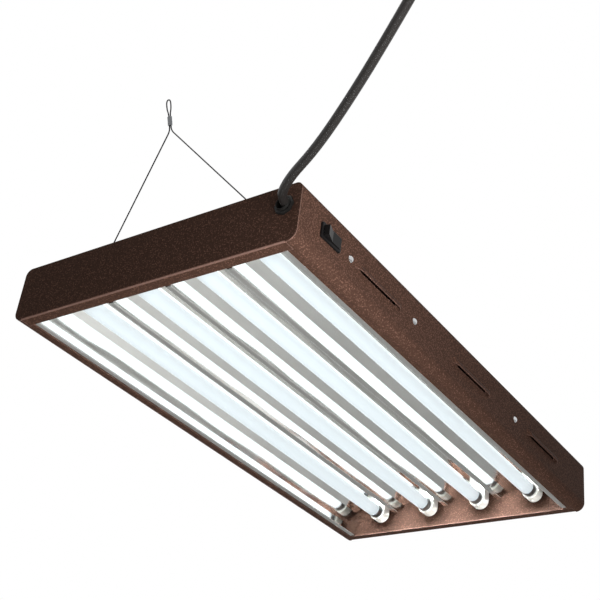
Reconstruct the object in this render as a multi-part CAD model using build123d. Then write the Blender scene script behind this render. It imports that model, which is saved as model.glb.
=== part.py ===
"""Hanging fluorescent light fixture with four slim lamps, a mirror reflector and wire hangers.

Millimetres, +Z up, the lamps lie along Y and the near end, where the cord leaves, is at -Y.
Everything is drawn from the plane of the bottom rim. At the end all pieces move down together,
so that the origin lies midway between the two hanger loops, where the ceiling hooks bear.
"""
from build123d import *
from math import atan2, ceil, cos, pi, radians, sin, tan
import os

# Folded sheet housing
LENGTH = 590.0
WIDTH = 323.0
HEIGHT = 58.5
SHEET = 0.8
LOWER_BEND = 10.0
UPPER_BEND = 7.0
SIDE_LIP = 15.7
END_LIP = 11.7
END_BEND = 2.2
LIP_GAP = 0.4
FLANGE = 10.0
FLANGE_END_ROOM = 21.0

# Ventilation louvres, with stations measured from the near end
LOUVRE_STATIONS = (126.0, 306.0, 474.0)
LOUVRE_LENGTH = 78.3
LOUVRE_HEIGHT = 7.0
LOUVRE_DEPTH = 3.4
LOUVRE_Z = 25.4
LOUVRE_RUNOUT = 9.0

# Side screws and the clips that they hold
SCREW_STATIONS = (79.0, 190.5, 405.0)
SCREW_Z = 29.0
SCREW_D = 3.5
SCREW_HEAD_D = 6.6
SCREW_HEAD_H = 2.0
SCREW_LENGTH = 8.0
SCREW_CLEARANCE = 0.1
CLIP_WIDTH = 18.0
CLIP_SHEET = 1.0
CLIP_RISE = 7.0
CLIP_DROP = 16.0
CLIP_GRIP = 10.0
SEAT_GAP = 0.02

# Lamps, slim tubes of 16 mm with two-pin ends
LAMP_COUNT = 4
LAMP_INSET = 58.0
LAMP_Z = 25.0
LAMP_D = 16.0
LAMP_END_ROOM = 20.5
TUBE_WALL = 0.9
CAP_LENGTH = 8.0
CAP_WALL = 0.7
CAP_END = 1.2
PIN_D = 2.37
PIN_SPACING = 4.75
PIN_LENGTH = 7.5
PIN_CLEARANCE = 0.02

# Lampholders with turning rotors
HOLDER_WIDTH = 20.4
HOLDER_DEPTH = 12.5
HOLDER_DROP = 9.8
HOLDER_FACE_GAP = 0.3
FOOT_WIDTH = 14.0
FOOT_DEPTH = 8.0
FOOT_RISE = 4.0
FOOT_LUG = 0.8
ROTOR_D = 15.2
ROTOR_DEPTH = 5.5
RUNNING_FIT = 0.05
ENTRY_SLOT = 3.0
CONTACT_SHEET = 0.5
CONTACT_WIDTH = 2.0
CONTACT_GAP = 0.3
CONTACT_TAIL = 2.0

# Reflector: a narrow flat over each lamp, slopes down to flat-tipped ridges, steep outer walls
REFLECTOR_SHEET = 0.5
REFLECTOR_BEND = 0.7
FLOOR_Z = 43.0
FLOOR_HALF = 5.7
RIDGE_Z = 15.5
RIDGE_TIP = 6.0
RIDGE_ROOT = 14.0
ROOT_Z = 26.3
RIDGE_MITRE = 10.0
OUTER_REACH = 30.5
OUTER_BEND_Z = 27.2
OUTER_SPREAD = 5.3
KNEE_Z = 9.0
EDGE_ROOM = 2.2
TROUGH_END_ROOM = 21.5
WALL_END_ROOM = 11.5
WALL_TAB_RISE = 5.0

# Socket bars
BAR_SHEET = 1.0
BAR_BEND = 1.5
BAR_RISE = 11.0
BAR_FRONT = 1.2

# Ballasts between the reflector ridges and the roof
BALLAST_LENGTH = 240.0
BALLAST_WIDTH = 30.0
BALLAST_ROOM = 2.0
BALLAST_WALL = 0.8
BALLAST_EAR = 12.0
BALLAST_SCREW_D = 3.5
BOARD_SHEET = 1.6
BOARD_GAP = 0.4
TRANSFORMER_LENGTH = 28.0
CHOKE_LENGTH = 24.0

# Rocker switch in the right side
SWITCH_STATION = 45.8
SWITCH_Z = 30.0
BEZEL_LENGTH = 29.4
BEZEL_WIDTH = 15.4
BEZEL_HEIGHT = 2.0
BEZEL_CORNER = 2.0
SWITCH_LENGTH = 27.0
SWITCH_WIDTH = 12.8
SWITCH_DEPTH = 16.0
SWITCH_WALL = 1.2
SWITCH_FIT = 0.1
ROCKER_GAP = 0.3
ROCKER_HIGH = 3.8
ROCKER_LOW = 1.9
ROCKER_DEEP = 5.0
ROCKER_TILT = 10.0
ROCKER_PIN_D = 2.4
TERMINAL_WIDTH = 4.8
TERMINAL_SHEET = 0.8
TERMINAL_LENGTH = 7.0
TERMINAL_SPACING = 14.0

# Strain relief and power cord
GLAND_SIDE_INSET = 15.9
GLAND_ROOF_INSET = 21.0
GLAND_COLLAR_D = 19.0
GLAND_COLLAR_H = 2.6
GLAND_NOSE = 2.2
GLAND_SHANK_D = 13.8
GLAND_SHANK = 15.0
GLAND_NUT_D = 20.0
GLAND_NUT_H = 4.0
GLAND_FIT = 0.1
GLAND_MOUTH = 1.8
CORD_D = 8.0
CORD_FIT = 0.05
CORD_TAIL = 1.2
LEAD_D = 2.2
GROUND_INSET = 3.2
LEAD_CIRCLE = 1.9
SLEEVE_D = 3.2
SLEEVE_STRAIGHT = 30.0
SLEEVE_CROSSING = 40.0
SLEEVE_LAST_RUN = 20.0

# Cord route from the gland's mouth, as steps from the gland's axis at the end plate
CORD_ROUTE = (
    (0.0, -8.0, 0.0),
    (19.4, -25.0, 2.5),
    (59.4, -43.5, 7.3),
    (108.4, -69.0, 25.5),
    (154.4, -94.5, 47.0),
    (197.4, -120.0, 66.5),
    (222.4, -133.0, 78.5),
)

# Tied coil of the cord's spare length
COIL_RADIUS = 58.5
COIL_PITCH = 8.6
COIL_HALF_TURNS = 5
COIL_EXIT_CLIMB = 18.0
TIE_WIDTH = 12.0
TIE_SHEET = 1.5
TIE_GAP = 0.5

# Grounded plug
PLUG_RELIEF = 20.0
PLUG_NECK_D = 11.0
PLUG_LENGTH = 25.0
PLUG_WIDTH = 25.0
PLUG_HEIGHT = 22.0
PLUG_FILLET = 3.0
BLADE_LENGTH = 16.0
BLADE_WIDTH = 6.35
BLADE_SHEET = 1.5
BLADE_SPACING = 12.7
GROUND_PIN_D = 4.8
GROUND_PIN_LENGTH = 19.0
GROUND_PIN_DROP = 11.9
PLUG_EMBED = 5.0

# Wire hangers and the lanced roof bridges that they hook under
HANGER_SIDE_INSET = 62.7
HANGER_END_INSET = 33.5
HANGER_LEAN = 20.7
HANGER_RISE = 118.0
CABLE_D = 1.3
STRAND_GAP = 0.5
FERRULE_LENGTH = 9.0
FERRULE_WALL = 0.8
FERRULE_FIT = 0.05
LOOP_LENGTH = 18.0
LOOP_HALF = 2.5
EYE_HALF = 3.2
EYE_ABOVE = 7.0
EYE_CLEARANCE = 0.2
SLEEVE_LENGTH = 7.0
BRIDGE_RISE = 4.0
BRIDGE_WIDTH = 1.8
BRIDGE_FLAT = 15.0
WINDOW_LENGTH = 26.0
WINDOW_WIDTH = 10.0

# Places worked out from the sizes above
half_length = LENGTH / 2
half_width = WIDTH / 2
inner_end = half_length - SHEET
inner_side = half_width - SHEET
roof_inside = HEIGHT - SHEET
lamp_pitch = (WIDTH - 2 * LAMP_INSET) / (LAMP_COUNT - 1)
lamp_places = [(i - (LAMP_COUNT - 1) / 2) * lamp_pitch for i in range(LAMP_COUNT)]
ridge_places = [(a + b) / 2 for a, b in zip(lamp_places, lamp_places[1:])]
lamp_half = half_length - LAMP_END_ROOM
holder_face = lamp_half + HOLDER_FACE_GAP
floor_top = FLOOR_Z + REFLECTOR_SHEET
floor_slope = (FLOOR_Z - ROOT_Z) / ((lamp_pitch - RIDGE_ROOT) / 2 - FLOOR_HALF)
wall_top = lamp_places[-1] + OUTER_REACH
wall_foot = wall_top + OUTER_SPREAD
wall_lean = OUTER_SPREAD / (OUTER_BEND_Z - KNEE_Z)
flange_edge = half_width - LOWER_BEND - EDGE_ROOM
bar_top = floor_top + BAR_SHEET
gland_x = half_width - GLAND_SIDE_INSET
gland_z = HEIGHT - GLAND_ROOF_INSET
ground_x = gland_x - GROUND_INSET
switch_y = SWITCH_STATION - half_length
foot_x = half_width - HANGER_SIDE_INSET
foot_y = half_length - HANGER_END_INSET
hinge_z = HEIGHT + BRIDGE_RISE
ridge_side_z = ROOT_Z + floor_slope * (BALLAST_WIDTH - RIDGE_ROOT) / 2
can_bottom = ridge_side_z + REFLECTOR_SHEET + BALLAST_ROOM
ballast_height = roof_inside - BALLAST_WALL - can_bottom
strand = (CABLE_D + STRAND_GAP) / 2
loop_top = HANGER_RISE + FERRULE_LENGTH + LOOP_LENGTH
hook_z = hinge_z + (loop_top - CABLE_D) * cos(radians(HANGER_LEAN))
turn_x = Rot(90, 0, 0)
turn_y = Rot(0, 90, 0)


def save(name, *shapes):
    """Write one node, moved so that the hook line is the origin."""
    solids = [s for shape in shapes for s in (Pos(0, 0, -hook_z) * shape).solids()]
    node = solids[0] if len(solids) == 1 else Compound(children=solids)
    export_step(node, f"parts/{name}.step")


def fold(points, bend, thickness):
    """Section of a folded strip: the line through the points, thickened, with rounded bends."""
    line = [Vector(*p) for p in points]
    ways = [(b - a).normalized() for a, b in zip(line, line[1:])]
    edges = []
    for side in (1, -1):
        shifted, radii = [], []
        for i, point in enumerate(line):
            before = ways[max(i - 1, 0)]
            after = ways[min(i, len(ways) - 1)]
            normals = Vector(-before.Y, before.X) + Vector(-after.Y, after.X)
            shifted.append(point + normals * (side * thickness / (2 * (1 + before.dot(after)))))
            if 0 < i < len(line) - 1:
                left_turn = 1 if before.cross(after).Z > 0 else -1
                radii.append(bend - side * left_turn * thickness / 2)
        edges.append(FilletPolyline(*shifted, radius=radii) if radii else Line(*shifted))
    left, right = edges
    return make_face([left, right, Line(left @ 0, right @ 0), Line(left @ 1, right @ 1)])


def along_y(section, start, end):
    """Stretch a section drawn in X and Z between two places on Y."""
    return Pos(0, end, 0) * extrude(Plane.XZ * section, end - start)


def along_x(section, start, end):
    """Stretch a section drawn in Y and Z between two places on X."""
    return Pos(start, 0, 0) * extrude(Plane.YZ * section, end - start)


def block(x, y, z):
    """Box between two places on each axis."""
    size = [b - a for a, b in (x, y, z)]
    middle = [(a + b) / 2 for a, b in (x, y, z)]
    return Pos(*middle) * Box(*size)


def rod(radius, start, end):
    """Round bar along Y."""
    middle = Vector(start[0], (start[1] + end) / 2, start[2])
    return Pos(middle) * turn_x * Cylinder(radius, abs(end - start[1]))


def largest_radii(points):
    """The largest arc that the two runs beside each inner point allow."""
    radii = []
    for a, b, c in zip(points, points[1:], points[2:]):
        turn = radians((b - a).get_angle(c - b))
        run = min((b - a).length, (c - b).length)
        radii.append(0.45 * run / tan(turn / 2))
    return radii


def tube(points, diameter):
    """Round tube along straight runs and tangent arcs."""
    line = [Vector(*p) for p in points]
    path = FilletPolyline(*line, radius=largest_radii(line))
    return sweep(Plane(path @ 0, z_dir=path % 0) * Circle(diameter / 2), path)


def both_sides(shape):
    """A piece and its mirror image on the other long side."""
    return [shape, mirror(shape, Plane.YZ)]


# Housing body: one sheet folded into roof, sides and bottom lips
def body_outline(inset=0.0):
    outline = Pos(0, HEIGHT / 2) * Rectangle(WIDTH - 2 * inset, HEIGHT - 2 * inset)
    outline = fillet(outline.vertices().group_by(Axis.Y)[0], LOWER_BEND - inset)
    return fillet(outline.vertices().group_by(Axis.Y)[-1], UPPER_BEND - inset)


def louvre(inset=0.0):
    """Pressed hood, open below, that fades into the wall at its top and ends."""
    depth = LOUVRE_DEPTH - inset
    height = LOUVRE_HEIGHT - inset
    reach = LOUVRE_LENGTH / 2 - inset
    flat = reach - LOUVRE_RUNOUT
    bulge = ThreePointArc((depth, 0), (0.78 * depth, 0.55 * height), (0, height))
    profile = make_face([Line((0, height), (0, 0)), Line((0, 0), (depth, 0)), bulge])
    near = ThreePointArc((0, -reach), (0.72 * depth, -flat - 0.55 * LOUVRE_RUNOUT), (depth, -flat))
    far = ThreePointArc((depth, flat), (0.72 * depth, flat + 0.55 * LOUVRE_RUNOUT), (0, reach))
    plan = make_face([near, Line((depth, -flat), (depth, flat)), far, Line((0, reach), (0, -reach))])
    return along_y(profile, -reach, reach) & extrude(plan, height)


def louvre_places():
    for station in LOUVRE_STATIONS:
        place = Pos(half_width, station - half_length, LOUVRE_Z)
        yield place
        yield Rot(0, 0, 180) * Pos(half_width, half_length - station, LOUVRE_Z)


def screw_places():
    for station in SCREW_STATIONS:
        yield Pos(half_width, station - half_length, SCREW_Z)
        yield Rot(0, 0, 180) * Pos(half_width, half_length - station, SCREW_Z)


def ballast_screw_places():
    for x in (-lamp_pitch, lamp_pitch):
        for end in (-1, 1):
            yield Pos(x, end * (BALLAST_LENGTH + BALLAST_EAR) / 2, HEIGHT)


def ground_place():
    return Pos(ground_x, -foot_y, HEIGHT)


def housing_body():
    opening = Pos(0, SHEET / 2) * Rectangle(WIDTH - 2 * SIDE_LIP, 2 * SHEET)
    body = along_y(body_outline() - body_outline(SHEET) - opening, -inner_end, inner_end)
    lip_reach = half_width - LOWER_BEND
    lip_stop = half_length - END_LIP - LIP_GAP
    for end in (-1, 1):
        corner = sorted((end * lip_stop, end * half_length))
        body -= block((-lip_reach, lip_reach), corner, (-SHEET, 2 * SHEET))
    skin = louvre() - Pos(0, 0, -SHEET) * louvre(SHEET)
    window = block((-2 * SHEET, SHEET), (-0.5 * LOUVRE_LENGTH + LOUVRE_RUNOUT, 0.5 * LOUVRE_LENGTH
                   - LOUVRE_RUNOUT), (0, LOUVRE_HEIGHT - 2 * SHEET))
    for place in louvre_places():
        body += place * skin
        body -= place * window
    for place in screw_places():
        body -= place * turn_y * Cylinder(SCREW_D / 2 + SCREW_CLEARANCE, 6 * SHEET)
    body -= Pos(half_width, switch_y, SWITCH_Z) * Box(
        6 * SHEET, SWITCH_LENGTH + 2 * SWITCH_FIT, SWITCH_WIDTH + 2 * SWITCH_FIT)
    for place in ballast_screw_places():
        body -= place * Cylinder(BALLAST_SCREW_D / 2 + SCREW_CLEARANCE, 6 * SHEET)
    body -= ground_place() * Cylinder(BALLAST_SCREW_D / 2 + SCREW_CLEARANCE, 6 * SHEET)
    bridge = hanger_bridge()
    for x in (-foot_x, foot_x):
        for y in (-foot_y, foot_y):
            body -= Pos(x, y, HEIGHT) * Box(WINDOW_LENGTH, WINDOW_WIDTH, 4 * SHEET)
            body += Pos(x, y, 0) * bridge
    return body


def hanger_bridge():
    """Strap lanced up out of the roof, which a hanger's eye goes round."""
    root = WINDOW_LENGTH / 2 + 1
    sheet_z = HEIGHT - SHEET / 2
    line = [(-root, sheet_z), (-root + 2, sheet_z), (-BRIDGE_FLAT / 2, hinge_z)]
    line += [(-x, z) for x, z in reversed(line)]
    return along_y(fold(line, 2 * SHEET, SHEET), -BRIDGE_WIDTH / 2, BRIDGE_WIDTH / 2)


# End plates: flat outline with a folded bottom lip and flanges welded inside the body
def end_plate(gland_hole):
    plate = along_y(body_outline(), -half_length, -inner_end)
    lip_half = half_width - LOWER_BEND - LIP_GAP
    strip = 2 * END_BEND
    plate -= block((-lip_half, lip_half), (-half_length, -inner_end), (0, strip))
    mid = -half_length + SHEET / 2
    lip = [(mid, strip), (mid, SHEET / 2), (-half_length + END_LIP, SHEET / 2)]
    plate += along_x(fold(lip, END_BEND - SHEET / 2, SHEET), -lip_half, lip_half)
    depth = (-inner_end, -inner_end + FLANGE)
    roof_half = half_width - UPPER_BEND - FLANGE_END_ROOM / 2
    plate += block((-roof_half, roof_half), depth, (roof_inside - SHEET, roof_inside))
    for side in both_sides(block((inner_side - SHEET, inner_side), depth,
                                 (LOWER_BEND + 2, HEIGHT - FLANGE_END_ROOM / 2))):
        plate += side
    if gland_hole:
        plate -= rod(GLAND_SHANK_D / 2 + GLAND_FIT, (gland_x, -half_length - 1, gland_z), -inner_end + 1)
    return plate


# Reflector: one folded mirror sheet whose edge flanges rest on the housing's bottom lips
def reflector():
    floor = FLOOR_Z + REFLECTOR_SHEET / 2
    flange = SHEET + SEAT_GAP + REFLECTOR_SHEET / 2
    foot = [(-flange_edge, flange), (-wall_foot, flange), (-wall_foot, KNEE_Z)]
    edge = [*foot, (-wall_top, OUTER_BEND_Z)]
    line = list(edge)
    for x in lamp_places:
        line += [(x - FLOOR_HALF, floor), (x + FLOOR_HALF, floor)]
        if x < lamp_places[-1]:
            ridge = x + lamp_pitch / 2
            line += [(ridge - RIDGE_ROOT / 2, ROOT_Z), (ridge - RIDGE_TIP / 2, RIDGE_Z),
                     (ridge + RIDGE_TIP / 2, RIDGE_Z), (ridge + RIDGE_ROOT / 2, ROOT_Z)]
    line += [(-x, z) for x, z in reversed(edge)]
    end = half_length - TROUGH_END_ROOM
    sheet = along_y(fold(line, REFLECTOR_BEND, REFLECTOR_SHEET), -end, end)
    mitre_top = ROOT_Z - 2 * REFLECTOR_SHEET
    mitre = make_face(Polyline((end, mitre_top), (end + RIDGE_MITRE, mitre_top), (end + RIDGE_MITRE, 0),
                               (end - RIDGE_MITRE, 0), (end - RIDGE_MITRE, RIDGE_Z), close=True))
    tab_top = OUTER_BEND_Z + WALL_TAB_RISE
    tab_line = [*foot, (-wall_foot + wall_lean * (tab_top - KNEE_Z), tab_top)]
    tab = along_y(fold(tab_line, REFLECTOR_BEND, REFLECTOR_SHEET), end, half_length - WALL_END_ROOM)
    for turn in (Rot(0, 0, 0), Rot(0, 0, 180)):
        for x in ridge_places:
            sheet -= turn * along_x(mitre, x - RIDGE_ROOT, x + RIDGE_ROOT)
        for side in both_sides(tab):
            sheet += turn * side
    return sheet


# Clips: bent strips from the side screws to the reflector's outer walls
def reflector_clip():
    wall_run = Vector(wall_lean, 0, -1)
    wall_out = Vector(1, 0, wall_lean).normalized()
    gap = (REFLECTOR_SHEET + CLIP_SHEET) / 2 + SEAT_GAP
    bend = Vector(wall_top, 0, OUTER_BEND_Z) + wall_out * gap
    low = SCREW_Z - CLIP_DROP
    upper = bend + wall_run * (bend.Z - low - CLIP_GRIP)
    lower = bend + wall_run * (bend.Z - low)
    side = inner_side - CLIP_SHEET / 2 - SEAT_GAP
    line = [(upper.X, upper.Z), (lower.X, low), (side, low), (side, SCREW_Z + CLIP_RISE)]
    clip = along_y(fold(line, 1.5 * CLIP_SHEET, CLIP_SHEET), -CLIP_WIDTH / 2, CLIP_WIDTH / 2)
    hole = Pos(inner_side, 0, SCREW_Z) * turn_y * Cylinder(SCREW_D / 2 + SCREW_CLEARANCE, 4 * CLIP_SHEET)
    return Pos(-half_width, 0, -SCREW_Z) * (clip - hole)


def dome_screw(diameter, length):
    """Screw with a domed head, its axis along Z and its seat at the origin."""
    rim = SCREW_HEAD_D / 2
    dome = (rim ** 2 + SCREW_HEAD_H ** 2) / (2 * SCREW_HEAD_H)
    head = Pos(0, 0, SCREW_HEAD_H - dome) * Sphere(dome)
    head &= block((-rim, rim), (-rim, rim), (0, SCREW_HEAD_H))
    return Pos(0, 0, SEAT_GAP) * (head + Pos(0, 0, -length / 2) * Cylinder(diameter / 2, length))


# Lamps: coated glass tube with necked ends, metal caps, two pins at each end
cap_inner = LAMP_D / 2 - CAP_WALL
neck_radius = cap_inner - PIN_CLEARANCE
tube_half = lamp_half - CAP_END - PIN_CLEARANCE


def lamp_tube():
    neck_end = lamp_half - CAP_LENGTH - PIN_CLEARANCE
    shoulder = neck_end - 2 * CAP_WALL
    half = [(neck_radius, tube_half), (neck_radius, neck_end), (LAMP_D / 2, shoulder)]
    outside = half + [(r, -y) for r, y in reversed(half)]
    bore = neck_radius - TUBE_WALL
    profile = make_face(Polyline((bore, tube_half), *outside, (bore, -tube_half), close=True))
    return revolve(profile, Axis.Y)


def lamp_caps():
    inside = lamp_half - CAP_END
    cap = rod(LAMP_D / 2, (0, lamp_half - CAP_LENGTH, 0), lamp_half)
    cap -= rod(cap_inner, (0, lamp_half - CAP_LENGTH - 1, 0), inside)
    cap = fillet(cap.edges().group_by(Axis.Y)[-1], CAP_WALL)
    for x in (-PIN_SPACING / 2, PIN_SPACING / 2):
        cap -= rod(PIN_D / 2 + PIN_CLEARANCE, (x, inside - 1, 0), lamp_half + 1)
    return [cap, Rot(0, 0, 180) * cap]


def lamp_pins():
    pins = []
    for x in (-PIN_SPACING / 2, PIN_SPACING / 2):
        pin = rod(PIN_D / 2, (x, lamp_half - CAP_END, 0), lamp_half + PIN_LENGTH)
        pins += [pin, Rot(0, 0, 180) * pin]
    return pins


def lamp_rotors():
    """Discs that grip the pins; the slot's open end meets the holder's entry after a quarter turn."""
    rotor = rod(ROTOR_D / 2, (0, holder_face, 0), holder_face + ROTOR_DEPTH)
    grip = PIN_D / 2 + RUNNING_FIT
    rotor -= block((-PIN_SPACING / 2 - grip, ROTOR_D), (holder_face - 1, holder_face + ROTOR_DEPTH + 1),
                   (-grip, grip))
    return [rotor, mirror(rotor, Plane.XZ)]


# Lampholders: white U-shaped blocks that snap up into the socket bars
pin_reach = lamp_half + PIN_LENGTH + CONTACT_GAP
contact_x = (PIN_SPACING + PIN_D) / 2 + CONTACT_GAP + CONTACT_SHEET / 2
contact_y = holder_face + ROTOR_DEPTH + 2 * CONTACT_GAP


def holder_outline():
    half = HOLDER_WIDTH / 2
    low = LAMP_Z - HOLDER_DROP
    cheek = ThreePointArc((half, LAMP_Z), (0.72 * half, LAMP_Z - 0.68 * HOLDER_DROP), (0, low))
    other = ThreePointArc((-half, LAMP_Z), (-0.72 * half, LAMP_Z - 0.68 * HOLDER_DROP), (0, low))
    top = floor_top - SEAT_GAP
    return make_face([cheek, other, Polyline((half, LAMP_Z), (half, top), (-half, top), (-half, LAMP_Z))])


def lampholder():
    back = holder_face + HOLDER_DEPTH
    middle = (holder_face + back) / 2
    body = along_y(holder_outline(), holder_face, back)
    body = fillet(body.edges().group_by(Axis.Y)[0].filter_by(GeomType.CIRCLE), 2 * HOLDER_FACE_GAP)
    foot = block((-FOOT_WIDTH / 2, FOOT_WIDTH / 2), (middle - FOOT_DEPTH / 2, middle + FOOT_DEPTH / 2),
                 (floor_top - 1, bar_top + FOOT_RISE))
    lug_low = bar_top + SEAT_GAP
    lug = Polyline((FOOT_WIDTH / 2 - 1, lug_low), (FOOT_WIDTH / 2 + FOOT_LUG, lug_low),
                   (FOOT_WIDTH / 2, lug_low + 2), (FOOT_WIDTH / 2 - 1, lug_low + 2), close=True)
    for side in both_sides(along_y(make_face(lug), middle - FOOT_DEPTH / 2, middle + FOOT_DEPTH / 2)):
        foot += side
    body += foot
    pocket_end = holder_face + ROTOR_DEPTH + RUNNING_FIT
    body -= rod(ROTOR_D / 2 + RUNNING_FIT, (0, holder_face - 1, LAMP_Z), pocket_end)
    body -= rod(contact_x + CONTACT_SHEET, (0, holder_face, LAMP_Z), pin_reach)
    body -= block((-ENTRY_SLOT / 2, ENTRY_SLOT / 2), (holder_face - 1, pin_reach),
                  (LAMP_Z - 2 * HOLDER_DROP, LAMP_Z))
    for x in (-contact_x, contact_x):
        slit = CONTACT_SHEET / 2 + SEAT_GAP
        body -= block((x - slit, x + slit), (contact_y - SEAT_GAP, contact_y + CONTACT_WIDTH + SEAT_GAP),
                      (LAMP_Z - PIN_D, bar_top + FOOT_RISE + 1))
    return body


def holder_contacts():
    for x in (-contact_x, contact_x):
        yield block((x - CONTACT_SHEET / 2, x + CONTACT_SHEET / 2), (contact_y, contact_y + CONTACT_WIDTH),
                    (LAMP_Z - PIN_D + SEAT_GAP, bar_top + FOOT_RISE + CONTACT_TAIL))


# Socket bars: angles welded to the end plates, level with the top of the reflector's floor
def socket_bar():
    mid = floor_top + BAR_SHEET / 2
    wall = inner_end - BAR_SHEET / 2
    line = [(holder_face + BAR_FRONT, mid), (wall, mid), (wall, mid + BAR_RISE)]
    bar_half = lamp_places[-1] + HOLDER_WIDTH
    bar = along_x(fold(line, BAR_BEND, BAR_SHEET), -bar_half, bar_half)
    middle = holder_face + HOLDER_DEPTH / 2
    for x in lamp_places:
        bar -= Pos(x, middle, mid) * Box(FOOT_WIDTH + 2 * SEAT_GAP, FOOT_DEPTH + 2 * SEAT_GAP, 3 * BAR_SHEET)
    return bar


# Ballasts: base with ears screwed to the roof, can below it, circuit board inside
def ballast_base():
    ears = BALLAST_LENGTH / 2 + BALLAST_EAR
    base = block((-BALLAST_WIDTH / 2, BALLAST_WIDTH / 2), (-ears, ears),
                 (roof_inside - BALLAST_WALL, roof_inside))
    base = fillet(base.edges().filter_by(Axis.Z), BALLAST_EAR / 3)
    for end in (-1, 1):
        base -= Pos(0, end * (BALLAST_LENGTH + BALLAST_EAR) / 2, roof_inside) * Cylinder(
            BALLAST_SCREW_D / 2 + SCREW_CLEARANCE, 4 * BALLAST_WALL)
    return base


def lead_level(upper):
    share = 0.78 if upper else 0.26
    return can_bottom + share * ballast_height


def ballast_can():
    top = roof_inside - BALLAST_WALL
    half_w = BALLAST_WIDTH / 2
    half_l = BALLAST_LENGTH / 2
    can = block((-half_w, half_w), (-half_l, half_l), (can_bottom, top))
    can = fillet(can.edges().filter_by(Axis.Z), 2 * BALLAST_WALL)
    can = fillet(can.edges().group_by(Axis.Z)[0], BALLAST_WALL)
    room_w = half_w - BALLAST_WALL
    room_l = half_l - BALLAST_WALL
    can -= block((-room_w, room_w), (-room_l, room_l), (can_bottom + BALLAST_WALL, top + 1))
    for x in lamp_lead_offsets:
        can -= rod(SLEEVE_D / 2 + SEAT_GAP, (x, -half_l - 1, lead_level(False)), half_l + 1)
    for x in mains_lead_offsets:
        can -= rod(LEAD_D / 2 + SEAT_GAP, (x, -half_l - 1, lead_level(True)), 0)
    return can


lamp_lead_offsets = (-BALLAST_WIDTH / 2 + 6, BALLAST_WIDTH / 2 - 6)
mains_lead_offsets = (-7.5, -2.5, 2.5, 7.5)


def ballast_board():
    low = can_bottom + BALLAST_WALL + BOARD_GAP
    top = low + BOARD_SHEET
    room = roof_inside - BALLAST_WALL - top
    half_w = BALLAST_WIDTH / 2 - BALLAST_WALL - BOARD_GAP
    half_l = BALLAST_LENGTH / 2 - BALLAST_WALL - BOARD_GAP
    board = block((-half_w, half_w), (-half_l, half_l), (low, top))
    board += Pos(0, -0.2 * BALLAST_LENGTH, top + 0.36 * room) * Box(
        0.5 * BALLAST_WIDTH, TRANSFORMER_LENGTH, 0.72 * room)
    board += Pos(0, 0.1 * BALLAST_LENGTH, top + 0.36 * room) * Box(
        0.5 * BALLAST_WIDTH, CHOKE_LENGTH, 0.72 * room)
    for place in (-0.07, 0.0, 0.2, 0.27):
        board += Pos(0, place * BALLAST_LENGTH, top + 0.3 * room) * Cylinder(0.14 * BALLAST_WIDTH, 0.6 * room)
    return board


# Switch: snap-in frame, tilting rocker, spade terminals
rocker_half = SWITCH_LENGTH / 2 - SWITCH_WALL - 2 * ROCKER_GAP
rocker_width = SWITCH_WIDTH - 2 * SWITCH_WALL - 2 * ROCKER_GAP
rocker_axis = Vector(half_width + BEZEL_HEIGHT / 2, switch_y, SWITCH_Z)


def switch_frame():
    bezel = Pos(half_width + SEAT_GAP, switch_y, SWITCH_Z) * extrude(
        Plane.YZ * RectangleRounded(BEZEL_LENGTH, BEZEL_WIDTH, BEZEL_CORNER), BEZEL_HEIGHT)
    bezel = fillet(bezel.edges().group_by(Axis.X)[-1], 0.4 * BEZEL_HEIGHT)
    back = half_width - SWITCH_DEPTH
    half_l = SWITCH_LENGTH / 2
    half_w = SWITCH_WIDTH / 2
    box_front = half_width + SEAT_GAP + BEZEL_HEIGHT / 2
    frame = bezel + block((back, box_front), (switch_y - half_l, switch_y + half_l),
                          (SWITCH_Z - half_w, SWITCH_Z + half_w))
    cave_l = half_l - SWITCH_WALL
    cave_w = half_w - SWITCH_WALL
    frame -= block((back + SWITCH_WALL, half_width + 2 * BEZEL_HEIGHT),
                   (switch_y - cave_l, switch_y + cave_l), (SWITCH_Z - cave_w, SWITCH_Z + cave_w))
    frame -= Pos(rocker_axis) * Cylinder(ROCKER_PIN_D / 2 + RUNNING_FIT, SWITCH_WIDTH)
    for y in (-TERMINAL_SPACING / 2, TERMINAL_SPACING / 2):
        frame -= Pos(back, switch_y + y, SWITCH_Z) * Box(
            4 * SWITCH_WALL, TERMINAL_SHEET + 2 * SEAT_GAP, TERMINAL_WIDTH + 2 * SEAT_GAP)
    return frame


def switch_rocker():
    half = rocker_half
    outline = Polyline((ROCKER_HIGH, -half), (ROCKER_LOW, 0), (ROCKER_HIGH, half), (-1.0, half),
                       (-ROCKER_DEEP, 0.35 * half), (-ROCKER_DEEP, -0.35 * half), (-1.0, -half), close=True)
    rocker = extrude(make_face(outline), rocker_width / 2, both=True)
    rocker = fillet(rocker.edges().filter_by(Axis.Z).group_by(Axis.X)[-1], ROCKER_GAP)
    rocker += Cylinder(ROCKER_PIN_D / 2, SWITCH_WIDTH - 2 * ROCKER_GAP)
    return Pos(rocker_axis) * Rot(0, 0, ROCKER_TILT) * rocker


def switch_terminals():
    back = half_width - SWITCH_DEPTH
    for y in (-TERMINAL_SPACING / 2, TERMINAL_SPACING / 2):
        blade = block((back - TERMINAL_LENGTH, back + 2 * SWITCH_WALL),
                      (switch_y + y - TERMINAL_SHEET / 2, switch_y + y + TERMINAL_SHEET / 2),
                      (SWITCH_Z - TERMINAL_WIDTH / 2, SWITCH_Z + TERMINAL_WIDTH / 2))
        yield chamfer(blade.edges().filter_by(Axis.Y).group_by(Axis.X)[0], TERMINAL_WIDTH / 5)


# Strain relief: faceted collar and tapered nose outside, shank and lock nut inside
nose_y = -half_length - GLAND_COLLAR_H - GLAND_NOSE
shank_y = -inner_end + GLAND_SHANK


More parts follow.
